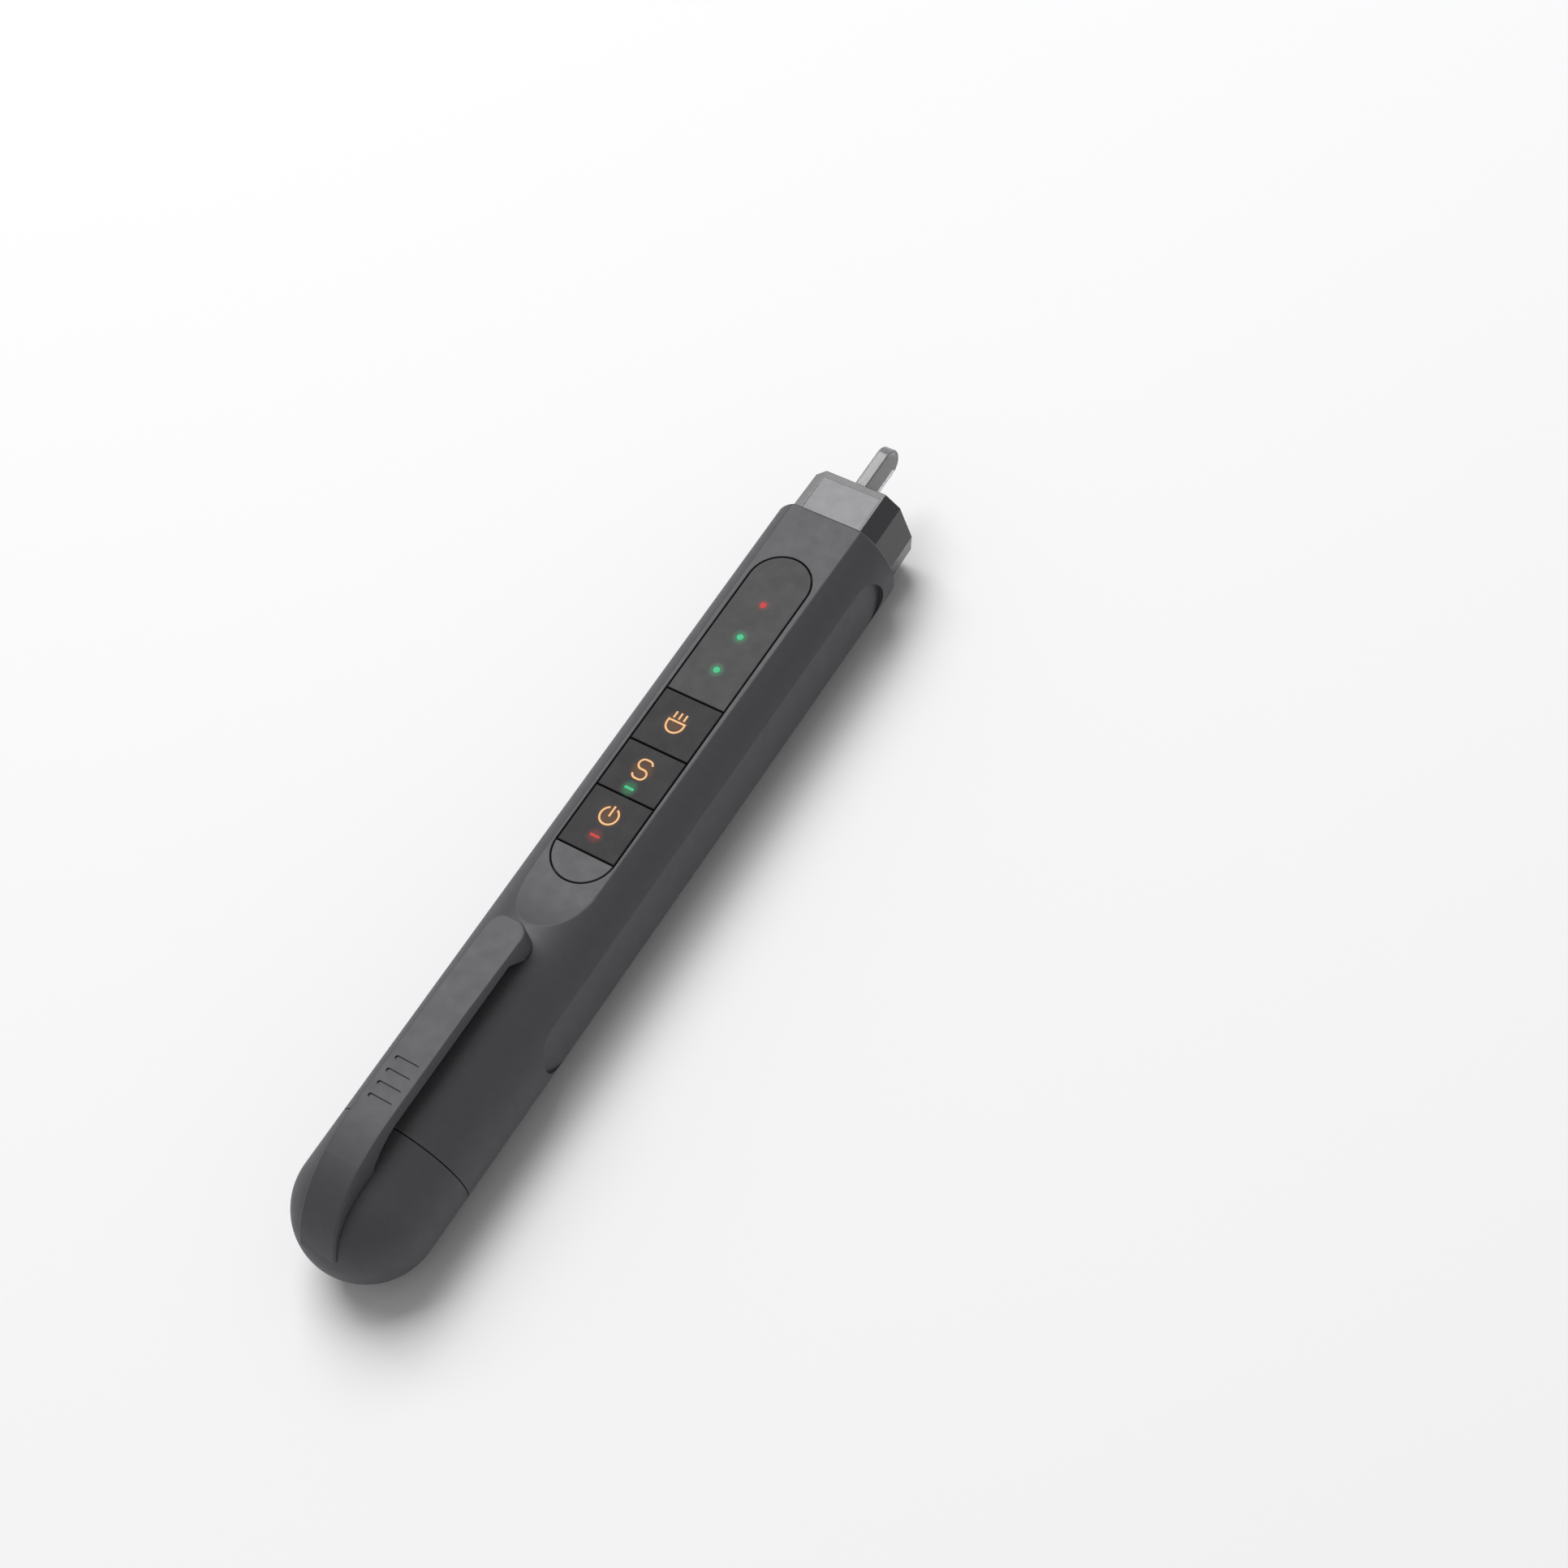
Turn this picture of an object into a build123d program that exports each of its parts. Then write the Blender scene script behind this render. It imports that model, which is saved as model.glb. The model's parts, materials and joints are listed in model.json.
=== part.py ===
from build123d import *

import os
from math import cos, radians, sin

# A pen-shaped electrical tester, in millimetres.
# Frame: +X to the pen's right, +Y along the pen towards the probe, +Z up out of the key panel.
# The origin is on the flat underside, half way along the whole pen.
#
# Stations ("y") are distances ahead of the centre of the round tail, and heights ("z") are
# measured from the axis of the round body. The three planes below turn them into the frame.

# ---------------------------------------------------------------- driving dimensions
BODY_R = 12.0            # outside radius of the round body
LENGTH = 172.0           # tail to probe tip
UNDERSIDE = -11.2        # height of the flat underside
GAP = 0.05               # slip gap between pieces that are fixed to each other

# stations along the pen
SEAM = 10.3              # joint between the end cap and the barrel
SEAM_GAP = 0.2
BORE_END = 18.0          # end of the round bore that takes the cap's spigot
SPIGOT_END = 17.0
RAMP_START = 49.8        # the flat deck runs out into the round body here
DECK_START = 60.0
BARREL_END = 140.0
NOSE_END = 149.0
TIP_Y = LENGTH - BODY_R

# barrel
BORE_R = 10.4
CAVITY_R = 10.0
CEILING = 6.8            # underside of the deck's wall
DECK_Z = 10.1            # height of the flat deck at the station below
DECK_STATION = 70.0
DECK_SLOPE = 0.005       # the deck falls gently towards the probe
CREASE_R = 0.6
RECESS = 2.05            # depth of the recess that holds the keys and the panel
SIDE_FLAT = 10.95        # distance of each flat flank from the middle plane
SIDE_FLAT_HALF = 4.9
SIDE_FLAT_REAR = 33.0
SIDE_FLAT_FRONT = 136.0

# key panel: a long slot with round ends
PANEL_R = 5.7
PANEL_GROOVE = 0.26
LIP = 0.08               # bevel round the rim of the recess
PANEL_REAR = 65.6        # centres of its two round ends
PANEL_FRONT = 124.0
LINE = 0.13              # half of the gap between two neighbours in the panel
LINES = (65.5, 77.3, 87.2, 98.3)
KEY_THICKNESS = 1.5
KEY_TRAVEL = 0.4
STEM = 4.0
STEM_CLEARANCE = 0.3
FOOT = 5.6               # catch under the ceiling
FOOT_TOP = 6.7
FOOT_BOTTOM = 6.3
INLAY_DEPTH = 0.5
STROKE = 0.35
SYMBOL_X = -0.3
INDICATORS = (104.9, 112.2, 119.4)
GUIDE_R = 1.0
LENS_R = 0.6

# batteries, two AAA cells in line
CELL_R = 5.25
CELL_LENGTH = 44.5
CELL_Z = -3.2
CELL_REAR = 7.0
CELL_FRONT = CELL_REAR + 2 * CELL_LENGTH

# carrier and circuit board
CARRIER_R = 9.85
CARRIER_REAR = 17.2
CARRIER_FRONT = 130.5
BOARD_BOTTOM = 2.3
BOARD_TOP = 3.1
BOARD_HALF = 7.6
BOARD_REAR = 51.5
BOARD_FRONT = 145.5

# nose and probe
NOSE_HALF = ((6.2, 8.5), (8.8, 6.0), (9.9, -1.7), (9.0, -6.0), (5.6, -9.3))
NOSE_TAPER = 0.985
NOSE_WALL = 1.2
NOSE_SPIGOT = 131.0
WINDOW_HALF = 5.8
WINDOW_FRONT = 147.6
WINDOW_BOTTOM = 7.5
WINDOW_TOP = 8.42
WINDOW_GAP = 0.02
PROBE_Z = 3.9
PROBE_R = 2.8
PROBE_THICKNESS = 2.3
PROBE_RIM = 0.95

# cap and pocket clip
SPIGOT_R = 10.3
CAP_BORE_R = 8.7
CAP_FLOOR = -3.5
RING_Y = 13.8
RING_R = 0.42
CLIP_HALF = 3.55
CLIP_TOP = 17.2
CLIP_UNDER = 15.0
CLIP_TIP = 48.0
CLIP_SEAT_R = 10.6       # radius of the channel that the clip's root lies in
CLIP_ROOT_ANGLE = 23.0   # above the tail's equator
CLIP_GAP = 0.06
CLIP_FOOT_GAP = 0.12

DOME_Y = BODY_R - LENGTH / 2
AXIS_Z = -UNDERSIDE
POCKET_R = PANEL_R + PANEL_GROOVE
STEP_FOLDER = "parts"


# ---------------------------------------------------------------- planes and helpers
def level(height):
    """Horizontal plane; local x is X and local y is the station."""
    return Plane(origin=(0, DOME_Y, AXIS_Z + height), x_dir=(1, 0, 0), z_dir=(0, 0, 1))


def deck_height(station):
    """Height of the sloping deck."""
    return DECK_Z - DECK_SLOPE * (station - DECK_STATION)


def deck(depth=0.0):
    """Plane that is parallel to the deck and lies below it; local y is the station."""
    slope = (1 + DECK_SLOPE**2) ** 0.5
    normal = (0, DECK_SLOPE / slope, 1 / slope)
    origin = (0, DOME_Y, AXIS_Z + deck_height(0) - depth)
    return Plane(origin=origin, x_dir=(1, 0, 0), z_dir=normal)


def section(station):
    """Cross-section that faces the tail; local x is X and local y is the height."""
    origin = (0, DOME_Y + station, AXIS_Z)
    return Plane(origin=origin, x_dir=(1, 0, 0), z_dir=(0, -1, 0))


def profile(offset=0.0):
    """Lengthwise plane; local x is the station and local y is the height."""
    return Plane(origin=(offset, DOME_Y, AXIS_Z), x_dir=(0, 1, 0), z_dir=(1, 0, 0))


def slab(width, rear, front, low, high, x=0.0, mode=Mode.ADD):
    """A rectangular block in the piece that is being built."""
    with BuildSketch(level(low)) as outline:
        with Locations((x, (rear + front) / 2)):
            Rectangle(width, front - rear)
    extrude(outline.sketch, amount=high - low, mode=mode)


def peg(radius, low, high, x, station, mode=Mode.ADD):
    """An upright round peg in the piece that is being built."""
    with BuildSketch(level(low)) as outline:
        with Locations((x, station)):
            Circle(radius)
    extrude(outline.sketch, amount=high - low, mode=mode)


def rod(radius, rear, front, height, mode=Mode.ADD):
    """A round bar along the pen in the piece that is being built."""
    with BuildSketch(section(front)) as outline:
        with Locations((0, height)):
            Circle(radius)
    extrude(outline.sketch, amount=front - rear, mode=mode)


def panel_slot(radius, depth=0.0):
    """The outline of the key panel, a slot with round ends."""
    length = PANEL_FRONT - PANEL_REAR
    with BuildSketch(deck(depth)) as outline:
        with Locations((0, (PANEL_REAR + PANEL_FRONT) / 2)):
            SlotCenterToCenter(length, 2 * radius, rotation=90)
    return outline.sketch


def trimmed_disc(radius, ceiling, station):
    """A disc with its top cut off level, as the barrel's cavity has."""
    with BuildSketch(section(station)) as outline:
        Circle(radius)
        with Locations((0, ceiling + radius)):
            Rectangle(4 * radius, 2 * radius, mode=Mode.SUBTRACT)
    return outline.sketch


def nose_outline(station, scale, inset=0.0):
    """The faceted outline of the nose."""
    right = [(x * scale, z * scale) for x, z in NOSE_HALF]
    left = [(-x, z) for x, z in reversed(right)]
    with BuildSketch(section(station)) as outline:
        Polygon(*right, *left, align=None)
        if inset:
            offset(amount=-inset, kind=Kind.INTERSECTION, mode=Mode.REPLACE)
    return outline.sketch


def save(piece, name):
    piece.part.label = name
    export_step(piece.part, os.path.join(STEP_FOLDER, name + ".step"))


os.makedirs(STEP_FOLDER, exist_ok=True)


# ---------------------------------------------------------------- barrel
key_centres = [(LINES[i] + LINES[i + 1]) / 2 for i in range(3)]

with BuildPart() as barrel:
    rod(BODY_R, SEAM + SEAM_GAP / 2, BARREL_END, 0)
    # flat deck, with a concave run-out towards the tail
    with BuildSketch(profile()):
        with BuildLine():
            deck_rear = (DECK_START, deck_height(DECK_START))
            ramp = TangentArc(deck_rear, (RAMP_START, BODY_R), tangent=(-1, DECK_SLOPE))
            Polyline(
                ramp @ 1,
                (RAMP_START - 0.5, BODY_R + 3),
                (BARREL_END + 1, BODY_R + 3),
                (BARREL_END + 1, deck_height(BARREL_END + 1)),
                deck_rear,
            )
        make_face()
    extrude(amount=BODY_R, both=True, mode=Mode.SUBTRACT)
    # flat underside
    slab(2 * BODY_R, SEAM, BARREL_END, -BODY_R, UNDERSIDE, mode=Mode.SUBTRACT)
    # flat flanks with a round end
    flank_length = SIDE_FLAT_FRONT - SIDE_FLAT_REAR
    for side in (-1, 1):
        with BuildSketch(profile(side * SIDE_FLAT)):
            with Locations(((SIDE_FLAT_REAR + SIDE_FLAT_FRONT) / 2, 0)):
                SlotOverall(flank_length, 2 * SIDE_FLAT_HALF)
        extrude(amount=side * (BODY_R - SIDE_FLAT + 0.5), mode=Mode.SUBTRACT)
    # softened creases either side of the deck
    deck_face = barrel.faces().filter_by(deck()).sort_by(Axis.Z)[-1]
    fillet(deck_face.edges().filter_by(GeomType.ELLIPSE), radius=CREASE_R)
    # bevelled front rim
    chamfer(barrel.faces().sort_by(Axis.Y)[-1].edges(), length=0.5)
    # round bore for the cap, then the long cavity with its flat ceiling
    rod(BORE_R, SEAM, BORE_END, 0, mode=Mode.SUBTRACT)
    cavity = trimmed_disc(CAVITY_R, CEILING, BARREL_END)
    extrude(cavity, amount=BARREL_END - BORE_END, mode=Mode.SUBTRACT)
    # recess for the keys and the panel, with a fine bevel round its rim
    extrude(panel_slot(POCKET_R, RECESS), amount=BODY_R, mode=Mode.SUBTRACT)
    extrude(panel_slot(POCKET_R, LIP), amount=2 * LIP, taper=-45, mode=Mode.SUBTRACT)
    # openings through the floor of the recess
    for y in key_centres:
        side = STEM + 2 * STEM_CLEARANCE
        slab(side, y - side / 2, y + side / 2, CEILING - 1, DECK_Z, mode=Mode.SUBTRACT)
    for y in INDICATORS:
        peg(GUIDE_R + 0.1, CEILING - 1, DECK_Z, 0, y, mode=Mode.SUBTRACT)
save(barrel, "barrel")


# ---------------------------------------------------------------- keys
def wave_symbol(station):
    """A double curve that stands for sensitivity."""
    bend = 0.95
    left = SYMBOL_X - 0.3
    right = SYMBOL_X + 0.3
    with BuildSketch(deck(INLAY_DEPTH)) as symbol:
        with BuildLine():
            CenterArc((right, station + bend), bend, 15, 75)
            Line((right, station + 2 * bend), (left, station + 2 * bend))
            CenterArc((left, station + bend), bend, 90, 180)
            Line((left, station), (right, station))
            CenterArc((right, station - bend), bend, 90, -180)
            Line((right, station - 2 * bend), (left, station - 2 * bend))
            CenterArc((left, station - bend), bend, 270, -75)
        trace(line_width=STROKE)
    return symbol.sketch


def power_symbol(station):
    """An open ring with an upright bar."""
    ring = 1.65
    opening = 26
    with BuildSketch(deck(INLAY_DEPTH)) as symbol:
        with BuildLine():
            CenterArc((SYMBOL_X, station), ring, 90 + opening, 360 - 2 * opening)
        trace(line_width=STROKE)
        with Locations((SYMBOL_X, station + 0.95)):
            Rectangle(STROKE, 2.1)
    return symbol.sketch


def plug_symbol(station):
    """The body of a plug with three prongs."""
    half = 1.6
    top = station + 0.55
    with BuildSketch(deck(INLAY_DEPTH)) as symbol:
        with BuildLine():
            left = SYMBOL_X - half
            right = SYMBOL_X + half
            Polyline((left, top - 0.6), (left, top), (right, top), (right, top - 0.6))
            CenterArc((SYMBOL_X, top - 0.6), half, 180, 180)
        trace(line_width=STROKE)
        with Locations(*[(SYMBOL_X + x, top + 1.15) for x in (-1.0, 0, 1.0)]):
            Rectangle(STROKE, 1.3)
    return symbol.sketch


def bar_symbol(station, width):
    """A short status light across the key."""
    with BuildSketch(deck(INLAY_DEPTH)) as symbol:
        with Locations((SYMBOL_X, station)):
            RectangleRounded(width, 0.5, 0.2)
    return symbol.sketch


KEYS = (
    ("power", LINES[0], LINES[1], power_symbol(73.0), bar_symbol(68.8, 1.9)),
    ("sensitivity", LINES[1], LINES[2], wave_symbol(82.9), bar_symbol(78.9, 1.8)),
    ("mode", LINES[2], LINES[3], plug_symbol(92.7), None),
)

for name, rear, front, symbol, light in KEYS:
    middle = (rear + front) / 2
    inlays = {"legend": symbol}
    if light is not None:
        inlays["light"] = light
    with BuildPart() as key:
        with BuildSketch(deck()):
            with Locations((0, middle)):
                Rectangle(2 * PANEL_R, front - rear - 2 * LINE)
        extrude(amount=-KEY_THICKNESS)
        chamfer(key.faces().sort_by(Axis.Z)[-1].edges(), length=0.12)
        stem_top = deck_height(middle) - KEY_THICKNESS / 2
        slab(STEM, middle - STEM / 2, middle + STEM / 2, FOOT_BOTTOM, stem_top)
        slab(FOOT, middle - FOOT / 2, middle + FOOT / 2, FOOT_BOTTOM, FOOT_TOP)
        for outline in inlays.values():
            extrude(outline, amount=INLAY_DEPTH, mode=Mode.SUBTRACT)
    save(key, name + "_key")
    for kind, outline in inlays.items():
        with BuildPart() as inlay:
            extrude(outline, amount=INLAY_DEPTH)
        save(inlay, name + "_" + kind)


# ---------------------------------------------------------------- key switches
SWITCH = 6.0
SWITCH_TOP = 5.6
PLUNGER_R = 1.5
PLUNGER_BOTTOM = 4.9
PLUNGER_WELL = 4.4

for (name, rear, front, symbol, light), middle in zip(KEYS, key_centres):
    with BuildPart() as switch:
        slab(SWITCH, middle - SWITCH / 2, middle + SWITCH / 2, BOARD_TOP, SWITCH_TOP)
        fillet(switch.edges().filter_by(Axis.Z), radius=0.4)
        peg(PLUNGER_R + 0.08, PLUNGER_WELL, SWITCH_TOP + 1, 0, middle, mode=Mode.SUBTRACT)
    save(switch, name + "_switch")
    with BuildPart() as plunger:
        peg(PLUNGER_R, PLUNGER_BOTTOM, FOOT_BOTTOM, 0, middle)
    save(plunger, name + "_plunger")


# ---------------------------------------------------------------- indicator panel and its optics
GASKET = 0.3

with BuildPart() as indicator_panel:
    extrude(panel_slot(PANEL_R), amount=GASKET - RECESS)
    slab(4 * PANEL_R, 0, LINES[3] + LINE, 0, BODY_R, mode=Mode.SUBTRACT)
    chamfer(indicator_panel.faces().sort_by(Axis.Z)[-1].edges(), length=0.1)
    for y in INDICATORS:
        peg(LENS_R, CEILING, BODY_R, 0, y, mode=Mode.SUBTRACT)
save(indicator_panel, "indicator_panel")

with BuildPart() as panel_gasket:
    extrude(panel_slot(PANEL_R - 0.3, RECESS), amount=GASKET - 0.02)
    slab(4 * PANEL_R, 0, LINES[3] + 0.6, 0, BODY_R, mode=Mode.SUBTRACT)
    for y in INDICATORS:
        peg(GUIDE_R + 0.1, CEILING, BODY_R, 0, y, mode=Mode.SUBTRACT)
save(panel_gasket, "panel_gasket")

with BuildPart() as panel_tail:
    extrude(panel_slot(PANEL_R), amount=-RECESS)
    slab(4 * PANEL_R, LINES[0] - LINE, BARREL_END, 0, BODY_R, mode=Mode.SUBTRACT)
    chamfer(panel_tail.faces().sort_by(Axis.Z)[-1].edges(), length=0.1)
save(panel_tail, "panel_tail")


def lenses(name, stations):
    """Small round lenses that end level with the panel."""
    with BuildPart() as group:
        with BuildSketch(deck()):
            with Locations(*[(0, y) for y in stations]):
                Circle(LENS_R - 0.02)
        extrude(amount=GASKET - RECESS)
    save(group, name)


lenses("green_lenses", INDICATORS[:2])
lenses("red_lens", INDICATORS[2:])

with BuildPart() as light_guides:
    for y in INDICATORS:
        guide_top = deck_height(y) - RECESS + GASKET - 0.02
        peg(GUIDE_R, BOARD_TOP + 0.75, guide_top, 0, y)
save(light_guides, "light_guides")


# ---------------------------------------------------------------- nose, window and probe
with BuildPart() as nose_shell:
    loft([nose_outline(BARREL_END, 1.0), nose_outline(NOSE_END, NOSE_TAPER)], ruled=True)
    front_face = nose_shell.faces().sort_by(Axis.Y)[-1]
    chamfer(front_face.edges(), length=0.2)
    hollow = nose_outline(NOSE_END - NOSE_WALL, NOSE_TAPER, inset=NOSE_WALL)
    # spigot that enters the barrel
    plug = trimmed_disc(CAVITY_R - GAP, CEILING - GAP, BARREL_END)
    extrude(plug, amount=BARREL_END - NOSE_SPIGOT)
    extrude(hollow, amount=NOSE_END - NOSE_WALL - BARREL_END + 2, mode=Mode.SUBTRACT)
    bore = trimmed_disc(CAVITY_R - NOSE_WALL, CEILING - NOSE_WALL, BARREL_END)
    extrude(bore, amount=BARREL_END - NOSE_SPIGOT, mode=Mode.SUBTRACT)
    # seat for the white window, and the opening below it
    slab(2 * WINDOW_HALF, BARREL_END, WINDOW_FRONT, WINDOW_BOTTOM, BODY_R, mode=Mode.SUBTRACT)
    slab(2 * WINDOW_HALF - 2, BARREL_END + 1, WINDOW_FRONT - 1, 6, BODY_R, mode=Mode.SUBTRACT)
    # slot for the probe
    slot_low = PROBE_Z - PROBE_R - GAP
    slot_high = PROBE_Z + PROBE_R + GAP
    slab(PROBE_THICKNESS + 2 * GAP, NOSE_END - 2, NOSE_END + 1, slot_low, slot_high, mode=Mode.SUBTRACT)
    # groove for the seal round the spigot
    outer = trimmed_disc(CAVITY_R + 1, CEILING + 1, 136.0)
    inner = trimmed_disc(CAVITY_R - 0.6, CEILING - 0.6, 136.0)
    extrude(outer - inner, amount=1.0, mode=Mode.SUBTRACT)
save(nose_shell, "nose_shell")

with BuildPart() as nose_seal:
    extrude(trimmed_disc(CAVITY_R - 0.01, CEILING - 0.01, 135.95), amount=0.9)
    extrude(trimmed_disc(CAVITY_R - 0.58, CEILING - 0.58, 135.95), amount=0.9, mode=Mode.SUBTRACT)
save(nose_seal, "nose_seal")

with BuildPart() as light_window:
    width = 2 * (WINDOW_HALF - WINDOW_GAP)
    slab(width, BARREL_END + GAP, WINDOW_FRONT - WINDOW_GAP, WINDOW_BOTTOM, WINDOW_TOP)
    chamfer(light_window.faces().sort_by(Axis.Z)[-1].edges(), length=0.04)
save(light_window, "light_window")

PROBE_BASE = NOSE_END - 2.3


def tongue(radius, rear, width):
    """A flat upright bar whose front end is round, built about the middle plane."""
    with BuildSketch(profile()) as outline:
        with Locations((TIP_Y - PROBE_R, PROBE_Z)):
            Circle(radius)
        with Locations(((rear + TIP_Y - PROBE_R) / 2, PROBE_Z)):
            Rectangle(TIP_Y - PROBE_R - rear, 2 * radius)
    return extrude(outline.sketch, amount=width / 2, both=True, mode=Mode.PRIVATE)


with BuildPart() as probe_tip:
    add(tongue(PROBE_R, PROBE_BASE, PROBE_THICKNESS))
    outer_edges = probe_tip.edges().filter_by_position(Axis.Y, DOME_Y + NOSE_END, DOME_Y + TIP_Y + 1)
    fillet(probe_tip.faces().filter_by(Axis.X).edges().filter_by(Axis.Y), radius=0.35)
    slab(5.0, PROBE_BASE, NOSE_END - NOSE_WALL, PROBE_Z - 3.6, PROBE_Z + 3.2)
    add(tongue(PROBE_R - PROBE_RIM, PROBE_BASE, 1.0), mode=Mode.SUBTRACT)
save(probe_tip, "probe_tip")

with BuildPart() as sensor_antenna:
    add(tongue(PROBE_R - PROBE_RIM - GAP, BOARD_FRONT, 1.0 - 2 * GAP))
save(sensor_antenna, "sensor_antenna")


# ---------------------------------------------------------------- end cap
cap_axis = Axis((0, DOME_Y, AXIS_Z), (0, 1, 0))
clip_root = radians(180 - CLIP_ROOT_ANGLE)

with BuildPart() as end_cap:
    with BuildSketch(profile()):
        with BuildLine():
            CenterArc((0, 0), BODY_R, 90, 90)
            Polyline(
                (0, BODY_R),
                (SEAM - SEAM_GAP / 2, BODY_R),
                (SEAM - SEAM_GAP / 2, SPIGOT_R),
                (SPIGOT_END, SPIGOT_R),
                (SPIGOT_END, CAP_BORE_R),
                (CAP_FLOOR, CAP_BORE_R),
                (CAP_FLOOR, 0),
                (-BODY_R, 0),
            )
        make_face()
    revolve(axis=cap_axis)
    slab(2 * BODY_R, -BODY_R, SEAM, -BODY_R, UNDERSIDE, mode=Mode.SUBTRACT)
    # groove for the sealing ring
    rod(BODY_R, RING_Y - 0.6, RING_Y + 0.6, 0, mode=Mode.SUBTRACT)
    rod(SPIGOT_R - 0.82, RING_Y - 0.6, RING_Y + 0.6, 0)
    rod(CAP_BORE_R, CAP_FLOOR, SPIGOT_END, 0, mode=Mode.SUBTRACT)
    # channel for the root of the pocket clip
    root_in = (CLIP_SEAT_R * cos(clip_root), CLIP_SEAT_R * sin(clip_root))
    root_out = (2 * BODY_R * cos(clip_root), 2 * BODY_R * sin(clip_root))
    seat_front = 3.0
    seat_top = (CLIP_SEAT_R**2 - seat_front**2) ** 0.5
    seat_middle = (CLIP_SEAT_R * cos(radians(118)), CLIP_SEAT_R * sin(radians(118)))
    with BuildSketch(profile()):
        with BuildLine():
            ThreePointArc(root_in, seat_middle, (seat_front, seat_top))
            Polyline((seat_front, seat_top), (seat_front, 2 * BODY_R), root_out, root_in)
        make_face()
    extrude(amount=CLIP_HALF + CLIP_GAP, both=True, mode=Mode.SUBTRACT)
save(end_cap, "end_cap")

with BuildPart() as cap_seal_ring:
    ring_centre_r = SPIGOT_R - 0.82 + RING_R
    with BuildSketch(profile()):
        with Locations((RING_Y, ring_centre_r)):
            Circle(RING_R)
    revolve(axis=cap_axis)
save(cap_seal_ring, "cap_seal_ring")

CONTACT = 0.4
STRIP_X = 6.9
STRIP_WIDTH = 1.8
STRIP = 0.3

with BuildPart() as cap_contact:
    rod(4.2, CAP_FLOOR, CAP_FLOOR + CONTACT, CELL_Z)
    slab(STRIP_X + STRIP_WIDTH / 2, CAP_FLOOR, CAP_FLOOR + CONTACT, -1.5, BOARD_BOTTOM,
         x=(STRIP_X + STRIP_WIDTH / 2) / 2)
    slab(STRIP_WIDTH, CAP_FLOOR, SPIGOT_END, BOARD_BOTTOM, BOARD_BOTTOM + STRIP, x=STRIP_X)
save(cap_contact, "cap_contact")

SPRING_WIRE = 0.6
SPRING_R = 3.0
spring_rear = CAP_FLOOR + CONTACT + SPRING_WIRE / 2
spring_length = CELL_REAR - SPRING_WIRE / 2 - spring_rear
spring_base = (0, DOME_Y + spring_rear, AXIS_Z + CELL_Z)

with BuildPart() as battery_spring:
    with BuildLine():
        coil = Helix(
            pitch=spring_length / 6,
            height=spring_length,
            radius=SPRING_R,
            center=spring_base,
            direction=(0, 1, 0),
        )
    with BuildSketch(Plane(origin=coil @ 0, z_dir=coil % 0)):
        Circle(SPRING_WIRE / 2)
    sweep(path=coil, is_frenet=True)
save(battery_spring, "battery_spring")


# ---------------------------------------------------------------- pocket clip
ROOT_TOP = BODY_R
clip_pivot = (BODY_R * cos(clip_root), BODY_R * sin(clip_root))
seat_r = CLIP_SEAT_R + CLIP_GAP
seat_front = 3.0 - CLIP_GAP
clip_seat = ((seat_r * cos(clip_root), seat_r * sin(clip_root)), (seat_front, (seat_r**2 - seat_front**2) ** 0.5))
FOOT_REAR = 42.6
FOOT_HEIGHT = BODY_R + CLIP_FOOT_GAP
RIBS = (11.8, 14.2, 16.6, 19.0)
RIB_DEPTH = 0.3

with BuildPart() as pocket_clip:
    with BuildSketch(profile()):
        with BuildLine():
            back = ThreePointArc(clip_pivot, (-6.3, 11.9), (1.2, 16.0))
            crown = TangentArc((1.2, 16.0), (10.5, CLIP_TOP), tangent=back % 1)
            Polyline(
                (10.5, CLIP_TOP),
                (30, CLIP_TOP),
                (CLIP_TIP, CLIP_TOP - 0.75),
                (CLIP_TIP, BODY_R),
                (FOOT_REAR + 1.4, BODY_R),
                (FOOT_REAR - 1.6, CLIP_UNDER),
                (10.5, CLIP_UNDER),
            )
            ThreePointArc((10.5, CLIP_UNDER), (6.0, 14.0), (seat_front, FOOT_HEIGHT))
            Line((seat_front, FOOT_HEIGHT), clip_seat[1])
            middle = (seat_r * cos(radians(118)), seat_r * sin(radians(118)))
            ThreePointArc(clip_seat[1], middle, clip_seat[0])
            Line(clip_seat[0], clip_pivot)
        make_face()
    extrude(amount=CLIP_HALF, both=True)
    # rounded tip in plan
    fillet(pocket_clip.edges().filter_by(Axis.Z).sort_by(Axis.Y)[-2:], radius=2.8)
    # the foot follows the round body and the cap, with a little air
    rod(FOOT_HEIGHT, seat_front, CLIP_TIP + 1, 0, mode=Mode.SUBTRACT)
    # softened outer edges
    outer = pocket_clip.edges().filter_by_position(Axis.Z, AXIS_Z + CLIP_UNDER + 0.9, AXIS_Z + CLIP_TOP + 0.1)
    fillet(outer.filter_by(Axis.Z, reverse=True), radius=0.35)
    # plain finger grooves across the top
    with BuildSketch(level(CLIP_TOP - RIB_DEPTH)):
        with Locations(*[(0, y) for y in RIBS]):
            SlotOverall(4.6, 0.8)
    extrude(amount=1.0, mode=Mode.SUBTRACT)
save(pocket_clip, "pocket_clip")


# ---------------------------------------------------------------- batteries and contacts
def cell(rear):
    """One AAA cell with its positive button towards the probe."""
    body = CELL_LENGTH - 1.2
    rod(CELL_R, rear, rear + body, CELL_Z)
    rod(1.9, rear + body, rear + CELL_LENGTH, CELL_Z)


for name, rear in (("battery_rear", CELL_REAR), ("battery_front", CELL_REAR + CELL_LENGTH)):
    with BuildPart() as battery:
        cell(rear)
        fillet(battery.edges().filter_by(GeomType.CIRCLE).sort_by(Axis.Y)[0], radius=0.4)
    save(battery, name)

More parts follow.
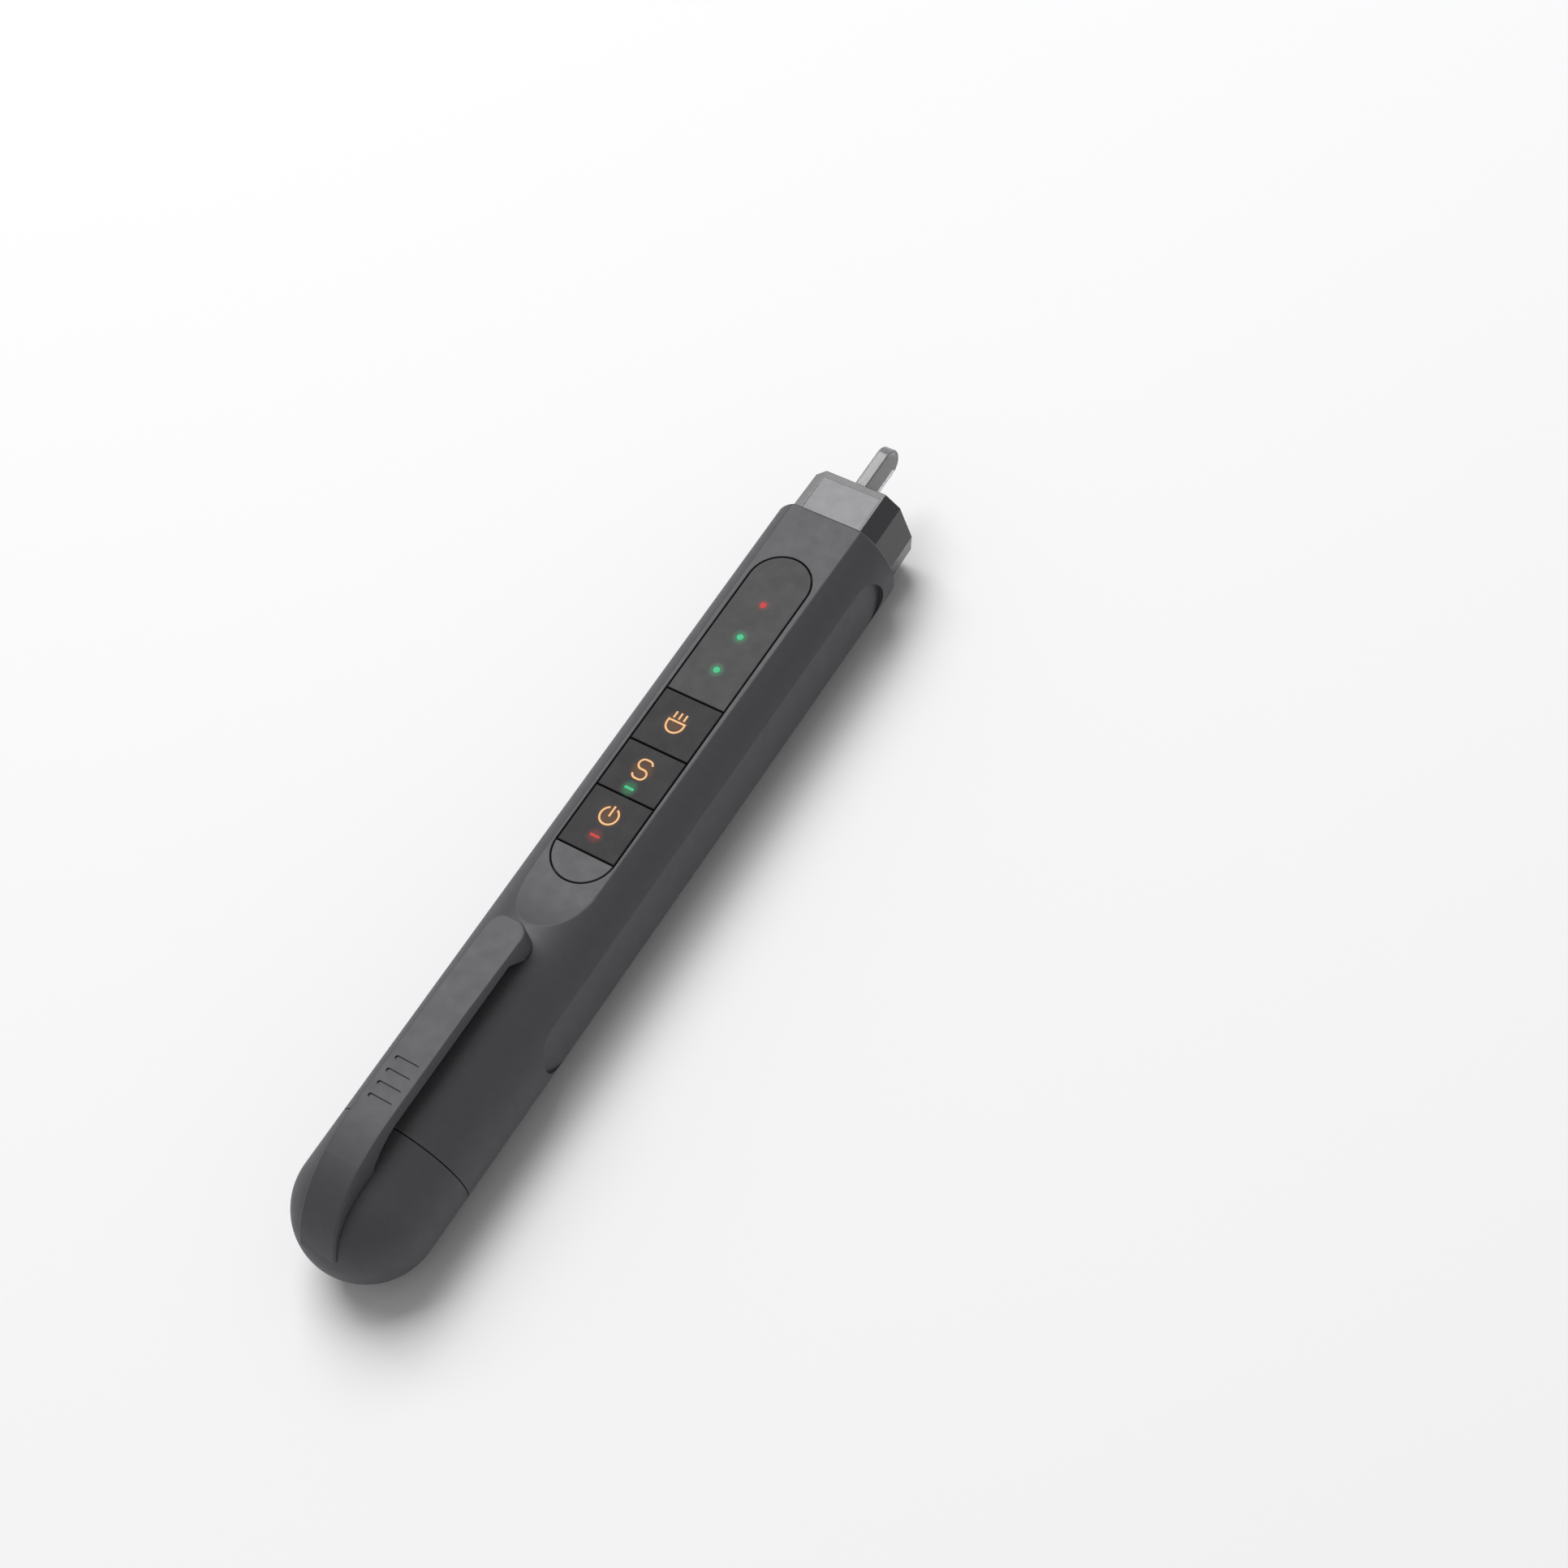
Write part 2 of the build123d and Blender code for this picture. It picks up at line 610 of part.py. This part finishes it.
with BuildPart() as positive_contact:
    slab(8.0, CELL_FRONT, CELL_FRONT + CONTACT, CELL_Z - 3.6, CELL_Z + 3.6)
    slab(2.4, CELL_FRONT, CELL_FRONT + CONTACT, CELL_Z + 3.6, BOARD_BOTTOM)
save(positive_contact, "positive_contact")

with BuildPart() as return_strip:
    slab(STRIP_WIDTH, CARRIER_REAR, BOARD_REAR, BOARD_BOTTOM, BOARD_BOTTOM + STRIP, x=STRIP_X)
save(return_strip, "return_strip")


# ---------------------------------------------------------------- carrier and circuit board
SCREWS = [(x, y) for y in (56.0, 127.0) for x in (-6.2, 6.2)]
SCREW_R = 0.75
BULKHEAD = 2.0

with BuildPart() as inner_carrier:
    solid_profile = trimmed_disc(CARRIER_R, BOARD_BOTTOM, CARRIER_FRONT)
    extrude(solid_profile, amount=CARRIER_FRONT - CARRIER_REAR)
    # battery bay, open along its top
    rod(CELL_R + 0.15, CARRIER_REAR, CELL_FRONT, CELL_Z, mode=Mode.SUBTRACT)
    slab(5.0, CARRIER_REAR, CELL_FRONT, 0, BOARD_BOTTOM + 1, mode=Mode.SUBTRACT)
    # slot for the positive contact
    slab(8.1, CELL_FRONT, CELL_FRONT + CONTACT, CELL_Z - 3.65, BOARD_BOTTOM + 1, mode=Mode.SUBTRACT)
    # open bay under the electronics
    bay_rear = CELL_FRONT + CONTACT + BULKHEAD
    slab(10.4, bay_rear, CARRIER_FRONT - 1.5, -7.0, BOARD_BOTTOM + 1, mode=Mode.SUBTRACT)
    # side channels that leave thin walls
    for x in (-7.55, 7.55):
        slab(1.9, CARRIER_REAR, BOARD_REAR - 1, -3.6, 0.8, x=x, mode=Mode.SUBTRACT)
        slab(1.9, 60.0, 122.0, -3.6, 0.8, x=x, mode=Mode.SUBTRACT)
    for x, y in SCREWS:
        peg(SCREW_R, -1.5, BOARD_BOTTOM + 1, x, y, mode=Mode.SUBTRACT)
save(inner_carrier, "inner_carrier")

with BuildPart() as main_board:
    slab(2 * BOARD_HALF, BOARD_REAR, BOARD_FRONT, BOARD_BOTTOM, BOARD_TOP)
    for x, y in SCREWS:
        peg(SCREW_R + 0.1, 0, BOARD_TOP + 1, x, y, mode=Mode.SUBTRACT)
save(main_board, "main_board")

with BuildPart() as board_screws:
    for x, y in SCREWS:
        peg(SCREW_R, -1.2, BOARD_TOP, x, y)
        peg(1.3, BOARD_TOP, BOARD_TOP + 0.9, x, y)
        slab(1.8, y - 0.2, y + 0.2, BOARD_TOP + 0.5, BOARD_TOP + 1, x=x, mode=Mode.SUBTRACT)
save(board_screws, "board_screws")

CHIP = 0.6


def chips(name, places, height=CHIP, width=1.6, depth=0.8):
    """A group of small light or chip bodies on top of the board."""
    with BuildPart() as group:
        for x, y in places:
            slab(width, y - depth / 2, y + depth / 2, BOARD_TOP, BOARD_TOP + height, x=x)
    save(group, name)


chips("key_lights", [(4.6, y) for y in key_centres])
chips("status_lights", [(-4.6, y) for y in key_centres[:2]])
chips("indicator_lights", [(0, y) for y in INDICATORS])
chips("alarm_lights", [(-3.0, 143.0), (3.0, 143.0)], height=1.5, width=2.8, depth=3.0)

with BuildPart() as controller:
    slab(4.4, 116.0, 122.5, BOARD_BOTTOM - 1.2, BOARD_BOTTOM)
    fillet(controller.edges().filter_by(Axis.Z), radius=0.2)
save(controller, "controller")

with BuildPart() as small_parts:
    for y in (113.0, 114.4, 124.2, 125.6):
        for x in (-3.0, 0.0, 3.0):
            slab(1.6, y - 0.4, y + 0.4, BOARD_BOTTOM - 0.6, BOARD_BOTTOM, x=x)
save(small_parts, "small_parts")

with BuildPart() as buzzer:
    peg(4.5, BOARD_BOTTOM - 4.2, BOARD_BOTTOM, 0, 105.5)
    fillet(buzzer.faces().sort_by(Axis.Z)[0].edges(), radius=0.5)
    peg(1.0, BOARD_BOTTOM - 4.2, BOARD_BOTTOM - 3.4, 0, 105.5, mode=Mode.SUBTRACT)
save(buzzer, "buzzer")
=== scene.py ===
import json

import bmesh
import bpy
from mathutils import Euler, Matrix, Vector


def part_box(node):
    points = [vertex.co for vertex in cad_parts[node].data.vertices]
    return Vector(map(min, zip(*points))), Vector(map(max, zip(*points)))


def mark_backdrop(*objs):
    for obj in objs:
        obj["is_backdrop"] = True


# A pen-shaped electrical tester on a pale floor.
# The pen lies along Y with its probe towards +Y and its keys facing +Z.

MM = 0.001

CAMERA_PLACE = (0.21962, -0.15638, 0.42743)
CAMERA_TURN = (0.54953, 0.17545, 0.57140)
LENS_MM = 68.52
SENSOR_MM = 36.0

KEY_PLACE = (-0.75, 0.65, 1.95)
KEY_SIZE = 1.5
KEY_POWER = 44
SKY_STRENGTH = 0.35

FLOOR_SIZE = 6.0
FLOOR_DROP = 0.00002
FLOOR_COLOR = (0.86, 0.86, 0.87)

BODY_COLOR = (0.051, 0.050, 0.056)
KEY_COLOR = (0.021, 0.019, 0.021)
KEY_SPECULAR = 0.24
PANEL_COLOR = (0.030, 0.028, 0.030)
MATT = 0.55              # roughness of the grained outer plastic

# painted glow: emission painted onto the plastic round the symbols and lenses, in place of light that
# soaks out of them into the plastic
ORANGE_PAINTED_GLOW = (0.075, 0.028, 0.0)
GREEN_PAINTED_GLOW = (0.0, 0.11, 0.035)
RED_PAINTED_GLOW = (0.085, 0.003, 0.002)
SYMBOL_REACH = 2.6 * MM
BAR_REACH = 1.8 * MM
GREEN_LENS_REACH = 1.7 * MM
RED_LENS_REACH = 1.4 * MM

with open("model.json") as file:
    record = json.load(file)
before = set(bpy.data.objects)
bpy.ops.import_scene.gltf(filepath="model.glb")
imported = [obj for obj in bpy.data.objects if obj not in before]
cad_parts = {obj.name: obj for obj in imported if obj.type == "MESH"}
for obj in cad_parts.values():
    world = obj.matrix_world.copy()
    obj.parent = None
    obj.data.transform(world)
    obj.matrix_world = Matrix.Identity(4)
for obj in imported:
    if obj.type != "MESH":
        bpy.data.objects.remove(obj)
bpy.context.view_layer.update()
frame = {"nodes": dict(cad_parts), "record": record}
nodes = frame["nodes"]


# ---------------------------------------------------------------- material building blocks
def material(name, color, roughness):
    """A new material, its node tree and its shader, with plain values on the shader."""
    result = bpy.data.materials.new(name)
    result.use_nodes = True
    tree = result.node_tree
    shader = tree.nodes["Principled BSDF"]
    shader.inputs["Base Color"].default_value = (*color, 1)
    shader.inputs["Roughness"].default_value = roughness
    return result, tree, shader


def noise(tree, scale, detail=3.0, roughness=0.5, stretch=(1, 1, 1)):
    """A noise pattern fixed to the object; scale is in cycles per metre."""
    place = tree.nodes.new("ShaderNodeTexCoord")
    mapping = tree.nodes.new("ShaderNodeMapping")
    mapping.inputs["Scale"].default_value = stretch
    pattern = tree.nodes.new("ShaderNodeTexNoise")
    pattern.inputs["Scale"].default_value = scale
    pattern.inputs["Detail"].default_value = detail
    pattern.inputs["Roughness"].default_value = roughness
    tree.links.new(place.outputs["Object"], mapping.inputs["Vector"])
    tree.links.new(mapping.outputs["Vector"], pattern.inputs["Vector"])
    return pattern.outputs["Fac"]


def spread(tree, value, low, high):
    """Maps a noise pattern, which stays near its middle, onto a range."""
    ranged = tree.nodes.new("ShaderNodeMapRange")
    ranged.inputs["From Min"].default_value = 0.3
    ranged.inputs["From Max"].default_value = 0.7
    ranged.inputs["To Min"].default_value = low
    ranged.inputs["To Max"].default_value = high
    tree.links.new(value, ranged.inputs["Value"])
    return ranged.outputs["Result"]


def drift_between(tree, socket, color, low, high, scale):
    """Lets a colour drift between two multiples of itself."""
    ramp = tree.nodes.new("ShaderNodeValToRGB")
    for element, position, factor in zip(ramp.color_ramp.elements, (0.32, 0.68), (low, high)):
        element.position = position
        element.color = (*[min(1, c * factor) for c in color], 1)
    tree.links.new(noise(tree, scale, detail=4.0), ramp.inputs["Fac"])
    tree.links.new(ramp.outputs["Color"], socket)


def vary_color(tree, shader, color, amount, scale):
    """Lets the base colour drift a little either side of its mean."""
    drift_between(tree, shader.inputs["Base Color"], color, 1 - amount, 1 + amount, scale)


def vary_roughness(tree, shader, middle, amount, scale):
    """Lets the gloss drift a little either side of its mean."""
    pattern = noise(tree, scale, detail=3.0)
    tree.links.new(spread(tree, pattern, middle - amount, middle + amount), shader.inputs["Roughness"])


def grain(tree, shader, scale, strength, distance, stretch=(1, 1, 1)):
    """A fine surface texture in the bump."""
    bump = tree.nodes.new("ShaderNodeBump")
    bump.inputs["Strength"].default_value = strength
    bump.inputs["Distance"].default_value = distance
    tree.links.new(noise(tree, scale, detail=2.0, stretch=stretch), bump.inputs["Height"])
    tree.links.new(bump.outputs["Normal"], shader.inputs["Normal"])


def moulded(name, color, roughness=0.5, drift=0.04, texture=0.25, specular=0.5):
    """Moulded plastic with a fine spark-eroded grain."""
    result, tree, shader = material(name, color, roughness)
    shader.inputs["Specular IOR Level"].default_value = specular
    vary_color(tree, shader, color, drift, 700)
    vary_roughness(tree, shader, roughness, 0.03, 400)
    grain(tree, shader, 5200, texture, 0.00004)
    return result


def lit(name, color):
    """A dark lens with a light behind it, a little uneven in brightness."""
    result, tree, shader = material(name, [c * 0.05 for c in color], 0.4)
    shader.inputs["Specular IOR Level"].default_value = 0.1
    shader.inputs["Emission Strength"].default_value = 1.0
    drift_between(tree, shader.inputs["Emission Color"], color, 0.86, 1.0, 900)
    return result


def paint_glow(finish, spots):
    """Paints a faint glow onto the plastic round lit symbols, as emission that fades out with distance
    from each symbol's middle.

    spots holds the middle of each symbol, how far its painted glow reaches, and its colour.
    """
    tree = finish.node_tree
    shader = tree.nodes["Principled BSDF"]
    place = tree.nodes.new("ShaderNodeTexCoord")
    total = None
    for middle, reach, color in spots:
        distance = tree.nodes.new("ShaderNodeVectorMath")
        distance.operation = "DISTANCE"
        distance.inputs[1].default_value = middle
        tree.links.new(place.outputs["Object"], distance.inputs[0])
        fade = tree.nodes.new("ShaderNodeMapRange")
        fade.interpolation_type = "SMOOTHSTEP"
        fade.inputs["From Min"].default_value = reach * 0.35
        fade.inputs["From Max"].default_value = reach
        fade.inputs["To Min"].default_value = 1
        fade.inputs["To Max"].default_value = 0
        tree.links.new(distance.outputs["Value"], fade.inputs["Value"])
        glow = tree.nodes.new("ShaderNodeVectorMath")
        glow.operation = "SCALE"
        glow.inputs[0].default_value = color
        tree.links.new(fade.outputs["Result"], glow.inputs["Scale"])
        if total is None:
            total = glow.outputs[0]
        else:
            both = tree.nodes.new("ShaderNodeVectorMath")
            both.operation = "ADD"
            tree.links.new(total, both.inputs[0])
            tree.links.new(glow.outputs[0], both.inputs[1])
            total = both.outputs[0]
    # the painted glow goes into the plastic's emission
    tree.links.new(total, shader.inputs["Emission Color"])
    shader.inputs["Emission Strength"].default_value = 1.0
    return finish


def clear(name, color, roughness, ior=1.49, transmission=1.0):
    """Clear or tinted moulded plastic that light goes through."""
    result, tree, shader = material(name, color, roughness)
    shader.inputs["Transmission Weight"].default_value = transmission
    shader.inputs["IOR"].default_value = ior
    vary_color(tree, shader, color, 0.03, 120)
    vary_roughness(tree, shader, roughness, min(0.03, roughness / 2), 300)
    grain(tree, shader, 1400, 0.05, 0.00002)
    return result


def metal(name, color, roughness, stretch=(1, 12, 1)):
    """Sheet metal or wire with fine drawing marks."""
    result, tree, shader = material(name, color, roughness)
    shader.inputs["Metallic"].default_value = 1.0
    vary_color(tree, shader, color, 0.05, 200)
    vary_roughness(tree, shader, roughness, 0.08, 500)
    grain(tree, shader, 3000, 0.15, 0.00002, stretch)
    return result


# ---------------------------------------------------------------- materials of the pen
finishes = {
    "body": moulded("body_plastic", BODY_COLOR, roughness=MATT, specular=0.56),
    "key": moulded("key_plastic", KEY_COLOR, roughness=MATT, specular=KEY_SPECULAR),
    "panel": moulded("panel_plastic", PANEL_COLOR, roughness=MATT, specular=0.40),
    "legend": lit("legend_glow", (1.0, 0.54, 0.24)),
    "green_light": lit("green_glow", (0.06, 0.58, 0.26)),
    "red_light": lit("red_glow", (0.62, 0.05, 0.045)),
    "diffuser": moulded("milky_plastic", (0.19, 0.19, 0.20), roughness=0.4, drift=0.03, texture=0.1),
    "smoke": clear("smoky_plastic", (0.055, 0.053, 0.058), 0.2, transmission=0.3),
    "clear": clear("clear_plastic", (0.36, 0.36, 0.37), 0.12, transmission=0.6),
    "antenna": moulded("antenna_coating", (0.02, 0.02, 0.022), roughness=0.45),
    "guide": clear("guide_plastic", (0.9, 0.9, 0.9), 0.1),
    "seal": moulded("seal_rubber", (0.02, 0.02, 0.02), roughness=0.75, texture=0.4),
    "carrier": moulded("carrier_plastic", (0.02, 0.02, 0.022), roughness=0.55),
    "board": moulded("board_lacquer", (0.01, 0.12, 0.05), roughness=0.3, drift=0.2, texture=0.1),
    "contact": metal("plated_sheet", (0.80, 0.66, 0.38), 0.3),
    "steel": metal("spring_steel", (0.62, 0.62, 0.64), 0.28),
    "battery": moulded("battery_sleeve", (0.08, 0.10, 0.14), roughness=0.3, texture=0.08),
    "switch": moulded("switch_case", (0.03, 0.03, 0.03), roughness=0.4),
    "plunger": moulded("plunger_plastic", (0.5, 0.49, 0.45), roughness=0.45),
    "chip": moulded("chip_case", (0.65, 0.62, 0.54), roughness=0.35),
    "black": moulded("black_case", (0.014, 0.014, 0.016), roughness=0.4),
}


def top_middle(node):
    """The middle of the node's upper face."""
    low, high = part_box(node)
    return Vector(((low.x + high.x) / 2, (low.y + high.y) / 2, high.z))


def paint(node, finish):
    """Gives a CAD node one material."""
    nodes[node].data.materials.clear()
    nodes[node].data.materials.append(finish)


for subpart in frame["record"]["subparts"]:
    paint(subpart["node"], finishes[subpart["material_slot"]])


def key_finish(key, bars):
    """Paints a key, with painted glow round its symbol and its status bars."""
    finish = moulded(key + "_key_plastic", KEY_COLOR, roughness=MATT, specular=KEY_SPECULAR)
    # painted glow round the symbol and each status bar
    spots = [(top_middle(key + "_legend"), SYMBOL_REACH, ORANGE_PAINTED_GLOW)]
    for node, color in bars:
        spots.append((top_middle(node), BAR_REACH, color))
    paint(key + "_key", paint_glow(finish, spots))


key_finish("power", [("power_light", RED_PAINTED_GLOW)])
key_finish("sensitivity", [("sensitivity_light", GREEN_PAINTED_GLOW)])
key_finish("mode", [])

green_low, green_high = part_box("green_lenses")
lens_radius = (green_high.x - green_low.x) / 2
green_rear = Vector((green_low.x + lens_radius, green_low.y + lens_radius, green_high.z))
green_front = Vector((green_low.x + lens_radius, green_high.y - lens_radius, green_high.z))
# painted glow on the panel plastic round the two green lenses and the red lens
paint_glow(
    finishes["panel"],
    [
        (green_rear, GREEN_LENS_REACH, GREEN_PAINTED_GLOW),
        (green_front, GREEN_LENS_REACH, GREEN_PAINTED_GLOW),
        (top_middle("red_lens"), RED_LENS_REACH, RED_PAINTED_GLOW),
    ],
)


# ---------------------------------------------------------------- floor, light and camera
def floor():
    """A large pale sheet just under the pen."""
    mesh = bpy.data.meshes.new("floor")
    shape = bmesh.new()
    bmesh.ops.create_grid(shape, x_segments=1, y_segments=1, size=FLOOR_SIZE / 2)
    shape.to_mesh(mesh)
    shape.free()
    result = bpy.data.objects.new("floor", mesh)
    result.location.z = -FLOOR_DROP
    bpy.context.scene.collection.objects.link(result)
    coat, tree, shader = material("floor_paint", FLOOR_COLOR, 0.7)
    vary_color(tree, shader, FLOOR_COLOR, 0.004, 3)
    mesh.materials.append(coat)
    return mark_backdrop(result)


def soft_light(name, place, target, size, power):
    """A square soft box that faces its target."""
    data = bpy.data.lights.new(name, "AREA")
    data.shape = "SQUARE"
    data.size = size
    data.energy = power
    lamp = bpy.data.objects.new(name, data)
    lamp.location = place
    lamp.rotation_euler = (Vector(target) - Vector(place)).to_track_quat("-Z", "Y").to_euler()
    bpy.context.scene.collection.objects.link(lamp)


def camera():
    """The camera at the photograph's viewing angle."""
    data = bpy.data.cameras.new("camera")
    data.lens = LENS_MM
    data.sensor_width = SENSOR_MM
    data.clip_start = 0.01
    data.clip_end = 20
    result = bpy.data.objects.new("camera", data)
    result.location = CAMERA_PLACE
    result.rotation_euler = Euler(CAMERA_TURN)
    bpy.context.scene.collection.objects.link(result)
    bpy.context.scene.camera = result


def surroundings():
    """An even white sky."""
    world = bpy.data.worlds.new("studio")
    world.use_nodes = True
    background = world.node_tree.nodes["Background"]
    background.inputs["Color"].default_value = (1, 1, 1, 1)
    background.inputs["Strength"].default_value = SKY_STRENGTH
    bpy.context.scene.world = world


floor()
surroundings()
soft_light("key", KEY_PLACE, (0, 0, 0), KEY_SIZE, KEY_POWER)
camera()

bpy.context.scene.view_settings.view_transform = "Standard"
